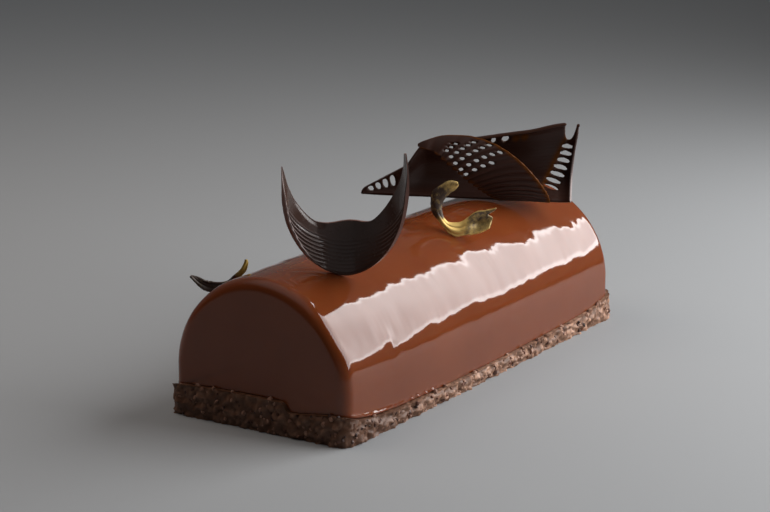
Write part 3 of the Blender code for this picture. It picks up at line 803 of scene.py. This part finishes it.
def back_wall_point(a, up):
    """A point of the back wall: rounded foot, hollow middle, top edge rolled to the front."""
    low = curl_bottom(a)
    high = curl_top(a)
    deep = CURL_BACK_DEPTH * min(1.0, (high - low) / (30.0 * MM))
    crown = smooth((a + 22.0 * MM) / (14.0 * MM))
    forward = CURL_FOLD_FORWARD - deep * math.sin(math.pi / 2 * min(1.0, up / 0.4))
    forward += 0.55 * deep * smooth((up - 0.55) / 0.45)
    forward += 3.6 * MM * smooth((up - 0.86) / 0.14) * crown
    roll = min(max((a - 25.0 * MM) / (4.5 * MM), 0.0), 1.0)
    forward += 3.2 * MM * roll * roll * (1.0 - smooth((up - 0.75) / 0.2))
    height = low + (high - low) * (1.0 - math.cos(math.pi / 2 * up ** 0.85)) ** 0.62
    height -= 2.3 * MM * smooth((up - 0.92) / 0.08) * crown
    shift = CURL_RIM_SLANT * height / (35.0 * MM) * smooth(a / CURL_RIGHT)
    shift += 0.9 * MM * roll * (1.0 - smooth(up / 0.6))
    return Vector((a + shift, -forward, height + CURL_LEAN * forward))


def flap_edges(up):
    """Toothed edge and lip of the front flap at a share of its rise."""
    tooth = Vector((-31.0 * MM * up ** 1.25 - 4.5 * MM * smooth((up - 0.9) / 0.1), 0.0,
                    22.8 * MM * up ** 1.7))
    turn = FLAP_SWEEP * (0.8 * up ** 1.25 + 0.2 * smooth((up - 0.85) / 0.15))
    wide = LIP_REACH * smooth(up / 0.3)
    tall = FLAP_HEIGHT + wide
    if turn < math.pi / 2:
        lip = Vector((FLAP_CENTRE + (FLAP_RIGHT + wide) * math.cos(turn), 0.0,
                      tall * (1.0 - math.cos(turn) ** 2.2)))
    else:
        lip = Vector((FLAP_CENTRE + FLAP_LEFT * math.cos(turn), 0.0, tall * math.sin(turn)))
    return tooth, lip


def flap_point(across, up):
    """A point of the front flap, which rises from the fold and leans back to the left."""
    tooth, lip = flap_edges(up)
    flat = tooth.lerp(lip, across)
    bow = 2.4 * MM * math.sin(math.pi * across) * math.sin(math.pi * up) * (1.0 - 0.5 * up)
    height = flat.z + bow + curl_bottom(flat.x) * (1.0 - up)
    rise = min(max(height / (31.0 * MM), 0.0), 1.0)
    forward = CURL_FOLD_FORWARD + FLAP_BULGE * abs(math.sin(math.pi * rise)) ** 0.7
    forward -= 1.5 * MM * up
    return Vector((flat.x, -forward, height + CURL_LEAN * forward))


def punch(us, vs, holes):
    """Open oval holes in a grid: the cells left, and where each grid point moves to.

    A hole is its centre, its half sizes and how much it leans along u and v."""
    def off(hole, u, v):
        du, dv = u - hole[0], v - hole[1]
        return math.hypot((du + hole[4] * dv) / hole[2], (dv + hole[5] * du) / hole[3])
    opened = {}
    for i in range(len(us) - 1):
        u = (us[i] + us[i + 1]) / 2
        for hole in holes:
            if abs(u - hole[0]) > 2.5 * hole[2]:
                continue
            for j in range(len(vs) - 1):
                if off(hole, u, (vs[j] + vs[j + 1]) / 2) < 1.0:
                    opened[i, j] = hole
    moved = {}
    for (i, j), hole in opened.items():
        for p, q in ((i, j), (i + 1, j), (i, j + 1), (i + 1, j + 1)):
            if all(cell in opened for cell in ((p - 1, q - 1), (p, q - 1), (p - 1, q), (p, q))):
                continue
            reach = off(hole, us[p], vs[q])
            if 0.35 < reach < 2.0:
                moved[p, q] = (hole[0] + (us[p] - hole[0]) / reach,
                               hole[1] + (vs[q] - hole[1]) / reach)
    return opened, moved


tail = [CURL_LEFT * (1.0 - i / CURL_TAIL_COLUMNS) for i in range(CURL_TAIL_COLUMNS)]
fold = [CURL_FOLD_END * i / CURL_FOLD_COLUMNS for i in range(CURL_FOLD_COLUMNS + 1)]
rim = [CURL_FOLD_END + (CURL_RIGHT - CURL_FOLD_END) * (i + 1) / CURL_RIM_COLUMNS
       for i in range(CURL_RIM_COLUMNS)]
columns = tail + fold + rim
last = len(columns) - 1
rows = [j / CURL_ROWS for j in range(CURL_ROWS + 1)]
# The comb's two crossings meet in a lattice on both layers, so light passes through. The wall has
# rows of holes behind the flap, slits in its tail, two gaps under its crown and slots at its rim.
# A row of holes: where it starts and its step in mm, then its height, rise, bend and count.
wall_rows_of_holes = ((-22.7, 1.86, 0.773, 0.0565, 0.0030, 3), (-20.8, 2.39, 0.665, 0.0650, 0.0040, 5),
                      (-18.9, 2.87, 0.553, 0.0708, 0.0048, 6), (-16.5, 3.35, 0.450, 0.0715, 0.0057, 6),
                      (-14.4, 3.69, 0.375, 0.0680, 0.0060, 4))
wall_holes = [((a + step * k) * MM, up + rise * k - bend * k * k, 0.42 * step * MM, 0.036, 0.0, 0.0)
              for a, step, up, rise, bend, count in wall_rows_of_holes for k in range(count)]
wall_holes += [(a * MM, up, 0.95 * MM, 0.27, 2.2 * MM, 0.0)
               for a, up in ((-55.3, 0.57), (-52.2, 0.60), (-49.1, 0.62), (-46.0, 0.64))]
wall_holes += [(a * MM, 0.865, size * MM, 0.045, 0.0, 0.0)
               for a, size in ((-2.8, 0.9), (2.2, 1.4))]
wall_holes += [(a * MM, up, half_long * MM, 0.023, 0.0, lean / MM)
               for a, up, half_long, lean in ((26.3, 0.655, 2.3, 0.0), (26.2, 0.572, 2.5, 0.002),
                                              (25.6, 0.490, 2.8, 0.004), (24.8, 0.410, 2.9, 0.007),
                                              (23.8, 0.332, 3.1, 0.009), (22.6, 0.255, 3.2, 0.010),
                                              (21.8, 0.180, 3.1, 0.010))]
wall_holes += [(26.2 * MM, 0.92, 2.1 * MM, 0.19, 0.0, 0.0)]
opened, moved = punch(columns, rows, wall_holes)
verts, painted_glow, painted_highlight, full = [], [], [], []
for k, a in enumerate(columns):
    for j, up in enumerate(rows):
        point = back_wall_point(*moved.get((k, j), (a, up)))
        point.y += CURL_RIDGE * (1.0 if j % 2 else -1.0) * smooth(min(j, CURL_ROWS - j) / 3.0)
        verts.append(point)
        # Painted glow: faint on the top edge and end columns, stronger round the holes.
        mark = 0.15 if j == CURL_ROWS else 0.0
        if k in (0, last):
            mark = 0.05
        elif (k, j) in moved:
            mark = 0.4
        # Warm brown painted glow in two shut gaps under the crown and along the left ends of the slots.
        shut = min(math.hypot((a / MM - gap) / 1.1, (up - 0.865) / 0.045) for gap in (6.3, 9.6))
        stripe = math.exp(-((a / MM - 18.4 - 11.2 * (up - 0.18)) / 1.2) ** 2)
        stripe *= smooth((up - 0.12) / 0.08) * (1.0 - smooth((up - 0.75) / 0.1))
        painted_glow.append(max(mark, stripe, 0.9 * smooth((1.6 - shut) / 0.8)))
        # A painted highlight on the right rim, brightest at its foot.
        painted_highlight.append(0.5 - 0.5 * smooth((up - 0.2) / 0.4) if k == last else 0.0)
        full.append(0.35 if (k, j) in moved else 1.0)
faces = sheet_cells(last, CURL_ROWS, opened)
across = [i / CURL_FOLD_COLUMNS for i in range(CURL_FOLD_COLUMNS + 1)]
rows = [j / FLAP_ROWS for j in range(FLAP_ROWS + 1)]
flap_holes = [(first + 0.157 * k, up, 0.036, 0.0185, 0.0, 0.0)
              for up, first, count in ((0.867, 0.24, 3), (0.808, 0.16, 5), (0.740, 0.10, 6),
                                       (0.665, 0.07, 6), (0.600, 0.06, 4)) for k in range(count)]
opened, moved = punch(across, rows, flap_holes)
flap = []
for i in range(CURL_FOLD_COLUMNS + 1):
    # The flap grows out of the wall's foot, so its first row is the wall's own.
    flap.append([(len(tail) + i) * (CURL_ROWS + 1)])
    for j in range(1, FLAP_ROWS + 1):
        point = flap_point(*moved.get((i, j), (across[i], rows[j])))
        comb = math.cos(2.0 * math.pi * j / FLAP_PITCH)
        point.y += FLAP_RIDGE * comb * smooth(min(j, FLAP_ROWS - j) / 6.0)
        tooth = abs((j / FLAP_PITCH + 0.5) % 1.0 - 0.5) * 2.0
        if i < 2:
            point.x -= (1.0 - i / 2.0) * 2.1 * MM * (tooth - 0.4)
        flap[-1].append(len(verts))
        verts.append(point)
        # Painted glow on the flap's lip, hole rims, edges and teeth.
        lip = LIP_GLOW[min(CURL_FOLD_COLUMNS - i, len(LIP_GLOW) - 1)]
        hole = 0.25 if (i, j) in moved else 0.0
        edge = 1.0 if i == 0 or j == FLAP_ROWS else 0.0
        painted_glow.append(max(edge, lip, hole, (1.0 - 0.3 * i) * tooth if i < 3 else 0.0))
        painted_highlight.append(0.0)
        full.append(0.35 if (i, j) in moved else 1.0)
for i in range(CURL_FOLD_COLUMNS):
    for j in range(FLAP_ROWS):
        if (i, j) not in opened:
            faces.append((flap[i][j], flap[i][j + 1], flap[i + 1][j + 1], flap[i + 1][j]))
lattice = dark_chocolate("thin_dark_chocolate", "#301911", "#502B0B", 0.4, (0.3, 0.05))
marks = {"painted_glow": painted_glow, "painted_highlight": painted_highlight, "full": full}
set_decoration("combed_lattice_curl", verts, faces, marks, CURL_AT, "lattice_curl", CURL_THICK, lattice)

# ------------------------------------------------
# Gold-dusted feathers
# Short dark chocolate leaves pulled off a knife, curled into a hook and brushed with gold
# powder. The powder lies on the blade's long ridges, and the chocolate shows between.
# ------------------------------------------------
FEATHER_THICK = 0.9 * MM
FEATHER_STEPS = 72
FEATHER_COLUMNS = 20
FEATHER_RIDGE = 0.3 * MM
NOTCH_DEPTH = 3.4 * MM
TOP_FEATHER_AT = (9.4 * MM, -16.9 * MM)
BACK_FEATHER_AT = (-83.4 * MM, 35.2 * MM)
# Both long edges of each leaf from its horn tip on, in mm to the side and up, as it faces the front.
TOP_OUTER = [(1.4, 75.5), (-2.1, 76.3), (-5.8, 74.3), (-8.8, 72.2), (-9.5, 68.7), (-9.2, 64.1),
             (-7.0, 60.6), (-4.5, 57.0), (-2.0, 54.2), (1.0, 53.0), (3.6, 53.5), (6.7, 53.8),
             (10.4, 54.6), (14.4, 56.6)]
TOP_INNER = [(1.5, 74.9), (0.4, 73.0), (-2.0, 71.3), (-4.5, 68.2), (-5.3, 65.2), (-4.9, 62.6),
             (-4.2, 60.6), (-2.6, 59.1), (-0.2, 58.8), (3.0, 59.2), (5.7, 61.1), (9.2, 63.7),
             (12.6, 64.2), (17.4, 65.2)]
BACK_OUTER = [(-10.1, 49.9), (-9.2, 48.5), (-8.1, 47.1), (-6.4, 45.4), (-4.7, 44.2), (-2.4, 43.6),
              (0.8, 43.9), (3.8, 45.0), (6.4, 46.8), (8.8, 49.0), (10.6, 50.9), (11.7, 52.3),
              (12.2, 54.6), (11.7, 56.7)]
BACK_INNER = [(-10.1, 50.0), (-8.0, 49.7), (-6.1, 49.0), (-4.2, 48.2), (-2.3, 47.8), (0.1, 47.5),
              (2.4, 47.5), (4.7, 48.1), (6.7, 49.9), (8.3, 51.3), (9.5, 52.4), (10.4, 53.8),
              (11.2, 55.4), (11.6, 56.6)]


def through(knots, share):
    """A smooth line through named points, at a share of its way."""
    place = min(max(share, 0.0), 0.9999) * (len(knots) - 1)
    i = int(place)
    t = place - i
    p = [Vector(knots[min(max(k, 0), len(knots) - 1)]) for k in (i - 1, i, i + 1, i + 2)]
    return 0.5 * (2.0 * p[1] + (p[2] - p[0]) * t + (2.0 * p[0] - 5.0 * p[1] + 4.0 * p[2] - p[3]) * t * t
                  + (3.0 * p[1] - p[0] - 3.0 * p[2] + p[3]) * t * t * t)


def leaf(outer_edge, inner_edge, depth):
    """Return a function for the points of a leaf blade between its two edges."""
    def place_point(along, across):
        flat = through(outer_edge, along).lerp(through(inner_edge, along), across) * MM
        back = depth(along, across)
        return Vector((flat.x, back, flat.y - CURL_LEAN * back))
    return place_point


def top_depth(along, across):
    """How far the blade lies back: a horn rolled like a gutter, a tilted bowl, a dented lobe."""
    bowl = smooth((along - 0.42) / 0.2)
    back = -1.5 * MM * math.sin(math.pi * across) * (1.0 - bowl)
    back += (3.4 * (across - 0.75) - 1.3 * math.sin(math.pi * across)) * MM * bowl
    end = smooth((along - 0.78) / 0.12)
    back += 2.6 * MM * math.sin(math.pi * min(1.0, 1.3 * across)) * end
    back += FEATHER_RIDGE * math.cos(5.0 * math.pi * across + 6.0 * along) * smooth((along - 0.3) / 0.2)
    return back + 0.35 * MM * noise.noise(Vector((9.0 * along, 3.0 * across, 1.0)))


def back_depth(along, across):
    bent = 0.5 * math.sin(math.pi * across) + 1.2 * (across - 0.5) * math.cos(math.pi * along)
    groove = 0.4 * FEATHER_RIDGE * math.cos(5.0 * math.pi * across)
    return bent * MM + groove + 0.3 * MM * noise.noise(Vector((8.0 * along, 3.0 * across, 5.0)))


def gold_powder(name, gold, ground):
    """Gold lustre powder brushed on dark chocolate: soft metal sheen with bare streaks."""
    material, shader = new_material(name, {"Roughness": 0.55})
    place = add_node(material, "TexCoord")
    dust = add_node(material, "Attribute", attribute_name="dust")
    streaks = add_node(material, "TexNoise",
                       {"Vector": place.outputs["Object"], "Scale": 1.0 / (1.8 * MM), "Detail": 5.0,
                        "Roughness": 0.7})
    patchy = add_node(material, "Math", {0: streaks.outputs["Fac"], 1: 0.9}, operation="MULTIPLY")
    level = add_node(material, "Math", {0: dust.outputs["Fac"], 1: patchy.outputs[0]}, operation="ADD")
    cover = add_node(material, "MapRange",
                     {"Value": level.outputs[0], "From Min": 0.55, "From Max": 1.15})
    mixed = add_node(material, "Mix", {0: cover.outputs[0], 6: linear(ground), 7: linear(gold)},
                     data_type="RGBA")
    join_sockets(material, mixed.outputs[2], shader, "Base Color")
    metal = add_node(material, "Math", {0: cover.outputs[0], 1: 0.4}, operation="MULTIPLY")
    join_sockets(material, metal.outputs[0], shader, "Metallic")
    bump = add_node(material, "Bump",
                    {"Height": streaks.outputs["Fac"], "Distance": 0.1 * MM, "Strength": 0.6})
    join_sockets(material, bump.outputs["Normal"], shader, "Normal")
    return material


def top_dust(along, across):
    """Gold on the crown's leaf: the horn's tip and the bowl's ridges, little on horn and lobe."""
    tip = 0.26 * (1.0 - smooth((along - 0.1) / 0.1))
    bowl = smooth((along - 0.42) / 0.12) * (1.0 - smooth((along - 0.72) / 0.1))
    rim = 0.5 * smooth(abs(2.0 * across - 1.0) * 4.0 - 3.0) * smooth((along - 0.45) / 0.1)
    lobe = 0.32 * smooth((along - 0.74) / 0.1) * (1.0 - across)
    return 0.1 + max(tip, bowl, rim, lobe)


def back_dust(along, across):
    """Gold on the far leaf: all on its horn, hardly any on the blade."""
    return 0.08 + 0.7 * smooth((along - 0.62) / 0.12)


for name, outer_edge, inner_edge, depth, dusted, at, node, slot, gold, settle in (
        ("feather_on_crown", TOP_OUTER, TOP_INNER, top_depth, top_dust, TOP_FEATHER_AT,
         "gold_feather_top", "gold_dusted_chocolate", "#E2BF70", 0.5 * MM),
        # The far leaf's gold is darker: painted shade, as it stands on the log's shaded far side.
        ("feather_at_far_side", BACK_OUTER, BACK_INNER, back_depth, back_dust, BACK_FEATHER_AT,
         "gold_feather_back", "gold_dusted_chocolate_back", "#9A803A", 0.0)):
    blade = leaf(outer_edge, inner_edge, depth)
    verts, faces = sheet(FEATHER_STEPS, FEATHER_COLUMNS, blade)
    for i in range(FEATHER_STEPS + 1):
        for j in (0, FEATHER_COLUMNS):
            knock = noise.noise(Vector((i * 0.45, j * 3.0, 2.0)))
            verts[i * (FEATHER_COLUMNS + 1) + j] += Vector((0.3, 0.0, 0.5)) * knock * MM
    # The end of the crown's leaf is torn in a notch.
    if node == "gold_feather_top":
        for j in range(FEATHER_COLUMNS + 1):
            notch = math.exp(-((j / FEATHER_COLUMNS - 0.72) / 0.12) ** 2)
            for back, share in enumerate((1.0, 0.7, 0.4, 0.2)):
                tip = (FEATHER_STEPS - back) * (FEATHER_COLUMNS + 1) + j
                verts[tip].x -= NOTCH_DEPTH * notch * share
    dust = [dusted(i / FEATHER_STEPS, j / FEATHER_COLUMNS)
            for i in range(FEATHER_STEPS + 1) for j in range(FEATHER_COLUMNS + 1)]
    powder = gold_powder("gold_powder_" + name, gold, "#35241A")
    set_decoration(name, verts, faces, {"dust": dust}, at, node, FEATHER_THICK, powder, settle)

# ------------------------------------------------
# Studio
# Pale floor, one upright soft light to the right of and behind the cake, a faint bounce from the
# ceiling, and a dim room whose wall and ceiling glow where the lamp lights them.
# ------------------------------------------------
floor_mesh = bpy.data.meshes.new("studio_floor")
floor_mesh.from_pydata([(-6, -6, 0), (6, -6, 0), (6, 6, 0), (-6, 6, 0)], [], [(0, 1, 2, 3)])
floor = place_object("studio_floor", floor_mesh)
# Dull paper, which gives the cake a soft pale ground and no sharp reflection.
paper, _ = new_material("pale_grey_floor", {"Base Color": linear("#96989A"), "Roughness": 0.7})
floor_mesh.materials.append(paper)
floor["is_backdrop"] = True

# Where the softbox stands round the cake and how far off, and its four edges, in metres.
LIGHT_TURN = math.radians(-50.0)
LIGHT_WAY = 0.5
LIGHT_LEFT, LIGHT_RIGHT = -0.315, 0.385
LIGHT_LOW, LIGHT_HIGH = 0.09, 0.79
lamp = bpy.data.lights.new("softbox", "AREA")
lamp.shape = "RECTANGLE"
lamp.size = LIGHT_RIGHT - LIGHT_LEFT
lamp.size_y = LIGHT_HIGH - LIGHT_LOW
lamp.energy = 10.3
softbox = place_object("softbox", lamp)
toward = Vector((math.cos(LIGHT_TURN), math.sin(LIGHT_TURN), 0.0))
aside = Vector((math.sin(LIGHT_TURN), -math.cos(LIGHT_TURN), 0.0))
softbox.location = (toward * LIGHT_WAY + aside * (LIGHT_LEFT + LIGHT_RIGHT) / 2
                    + Vector((0.0, 0.0, (LIGHT_LOW + LIGHT_HIGH) / 2)))
softbox.rotation_euler = (math.radians(90.0), 0.0, math.radians(90.0) + LIGHT_TURN)
softbox.visible_camera = False
# The cloth is brighter along its frame, where the lamp's side panels throw light on it.
lamp.use_nodes = True
spot = add_node(lamp, "NewGeometry")
halves = add_node(lamp, "VectorMath",
                  {0: spot.outputs["Parametric"], 1: (0.5, 0.5, 0.0)}, operation="SUBTRACT")
sides = add_node(lamp, "VectorMath", {0: halves.outputs[0]}, operation="ABSOLUTE")
split = add_node(lamp, "SeparateXYZ", {0: sides.outputs[0]})
farther = add_node(lamp, "Math", {0: split.outputs[0], 1: split.outputs[1]}, operation="MAXIMUM")
frame_glow = add_node(lamp, "MapRange",
                      {"Value": farther.outputs[0], "From Min": 0.455, "From Max": 0.475,
                       "To Min": 1.0, "To Max": 1.5})
# Its lamp hangs toward the far side, so the cloth is a little dimmer at the near side.
across_cloth = add_node(lamp, "SeparateXYZ", {0: spot.outputs["Parametric"]})
spread = add_node(lamp, "MapRange",
                  {"Value": across_cloth.outputs[0], "From Min": 0.63, "From Max": 0.8, "To Min": 0.8})
level = add_node(lamp, "Math", {0: frame_glow.outputs[0], 1: spread.outputs[0]}, operation="MULTIPLY")
join_sockets(lamp, level.outputs[0], lamp.node_tree.nodes["Emission"], "Strength")

fill = bpy.data.lights.new("ceiling_bounce", "AREA")
fill.shape = "RECTANGLE"
fill.size = fill.size_y = 0.5
fill.energy = 1.65
fill.color = linear("#FFEBDC")[:3]
bounce = place_object("ceiling_bounce", fill)
bounce.location = (-0.16, 0.45, 0.68)
aim = Vector((0.0, 0.0, 0.03)) - bounce.location
bounce.rotation_euler = aim.to_track_quat("-Z", "Y").to_euler()
bounce.visible_camera = bounce.visible_glossy = False

world = bpy.data.worlds.new("dim_room")
world.use_nodes = True
backdrop = world.node_tree.nodes["Background"]
backdrop.inputs["Color"].default_value = linear("#B8B9BA")
way = add_node(world, "TexCoord")
beyond = add_node(world, "VectorMath",
                  {0: way.outputs["Generated"], 1: (0.82, 0.52, 0.25)}, operation="DOT_PRODUCT")
falloff = add_node(world, "MapRange",
                   {"Value": beyond.outputs["Value"], "From Min": 0.15, "From Max": 0.75,
                    "To Min": 0.04, "To Max": 0.22})
# The wall on the lamp's side glows a little over the floor, which softens the floor's mirror image.
parts = add_node(world, "SeparateXYZ", {0: way.outputs["Generated"]})
above = add_node(world, "MapRange",
                 {"Value": parts.outputs[2], "From Max": 0.3, "To Min": 0.22, "To Max": 0.0},
                 interpolation_type="SMOOTHSTEP")
lamp_side = add_node(world, "MapRange", {"Value": parts.outputs[1], "From Min": -0.2, "From Max": -0.6})
glow = add_node(world, "Math", {0: above.outputs[0], 1: lamp_side.outputs[0], 2: falloff.outputs[0]},
                operation="MULTIPLY_ADD")
# The ceiling behind the cake is lit too, and the rounded rim of the near end mirrors it.
overhead = add_node(world, "VectorMath",
                    {0: way.outputs["Generated"], 1: (-0.2, 0.2, 0.96)}, operation="DOT_PRODUCT")
ceiling = add_node(world, "MapRange",
                   {"Value": overhead.outputs["Value"], "From Min": 0.72, "From Max": 0.97,
                    "To Max": 0.85}, interpolation_type="SMOOTHSTEP")
lit_room = add_node(world, "Math", {0: glow.outputs[0], 1: ceiling.outputs[0]}, operation="ADD")
join_sockets(world, lit_room.outputs[0], backdrop, "Strength")
bpy.context.scene.world = world

# A long lens from above the near corner, as in the photo.
camera_data = bpy.data.cameras.new("camera")
camera_data.sensor_width = 36.0
camera_data.lens = 105.2
camera_data.clip_end = 20.0
camera = place_object("camera", camera_data)
camera.location = (-0.76074, -0.47312, 0.27335)
camera.rotation_euler = (math.radians(90.0 - 14.298), 0.0, math.radians(32.453 - 90.0))
bpy.context.scene.camera = camera
bpy.context.scene.view_settings.view_transform = "Standard"

low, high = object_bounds()
